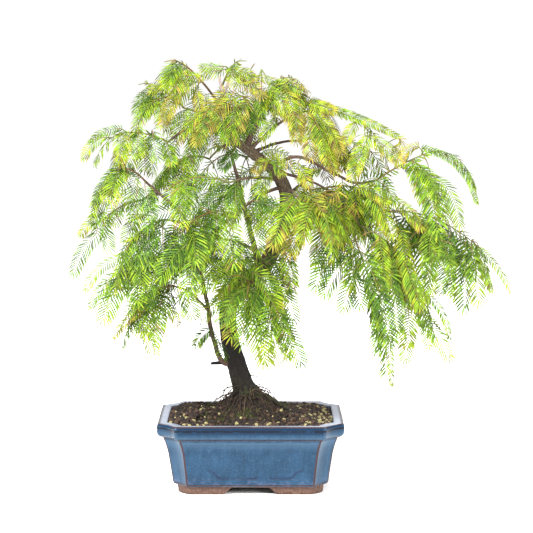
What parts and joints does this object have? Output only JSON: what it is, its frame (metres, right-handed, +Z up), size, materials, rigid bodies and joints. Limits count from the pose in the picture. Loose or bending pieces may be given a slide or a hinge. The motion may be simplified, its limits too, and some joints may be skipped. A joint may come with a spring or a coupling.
{
  "type": "potted bonsai tree",
  "caption": "Bonsai dawn redwood with a curved leaning trunk and weeping feathery boughs, in a rectangular glazed pot with scooped corners.",
  "frame": {"origin": "centre of the whole object's footprint box, on the surface that the pot stands on", "axes": "+Z up, +X along the pot's long side, -Y towards the front; the trunk leans and the longest boughs reach towards +X"},
  "size_m": [0.4832, 0.3038, 0.4878],
  "materials": {
    "glaze": "blue glaze with darker pools and brown break lines, bare brown clay at the foot",
    "soil": "damp granular bonsai soil, matte",
    "bark": "rough furrowed bark, matte",
    "foliage": "soft flat green needles, satin"
  },
  "bodies": {
    "root": {"pot": "glaze", "soil": "soil", "trunk": "bark", "bough_left_side_upper": "bark", "bough_left_side_lower": "bark", "bough_left_low_front": "bark", "bough_left_low_back": "bark", "bough_left_bottom": "bark", "bough_side_leader": "bark", "bough_left_middle": "bark", "bough_left_front": "bark", "bough_left_inner": "bark", "bough_left_outer": "bark", "bough_left_upper": "bark", "bough_top_left": "bark", "bough_fork": "bark", "bough_right_top": "bark", "bough_right_upper": "bark", "bough_right_long": "bark", "bough_right_middle": "bark", "bough_right_outer": "bark", "bough_right_inner": "bark", "bough_right_front": "bark", "bough_right_weeping": "bark", "bough_right_low_back": "bark", "bough_low_front": "bark", "bough_back_low": "bark", "bough_back_right": "bark", "bough_back_middle": "bark", "bough_back_top": "bark", "foliage_left_side_upper": "foliage", "foliage_left_side_lower": "foliage", "foliage_left_low_front": "foliage", "foliage_left_low_back": "foliage", "foliage_left_bottom": "foliage", "foliage_side_leader": "foliage", "foliage_left_middle": "foliage", "foliage_left_front": "foliage", "foliage_left_inner": "foliage", "foliage_left_outer": "foliage", "foliage_left_upper": "foliage", "foliage_top_left": "foliage", "foliage_apex": "foliage", "foliage_top_front": "foliage", "foliage_fork": "foliage", "foliage_right_top": "foliage", "foliage_right_upper": "foliage", "foliage_right_long": "foliage", "foliage_right_middle": "foliage", "foliage_right_outer": "foliage", "foliage_right_inner": "foliage", "foliage_right_front": "foliage", "foliage_right_weeping": "foliage", "foliage_right_low_back": "foliage", "foliage_right_hanging": "foliage", "foliage_low_front": "foliage", "foliage_back_low": "foliage", "foliage_back_right": "foliage", "foliage_back_middle": "foliage", "foliage_back_top": "foliage"}
  },
  "joints": []
}
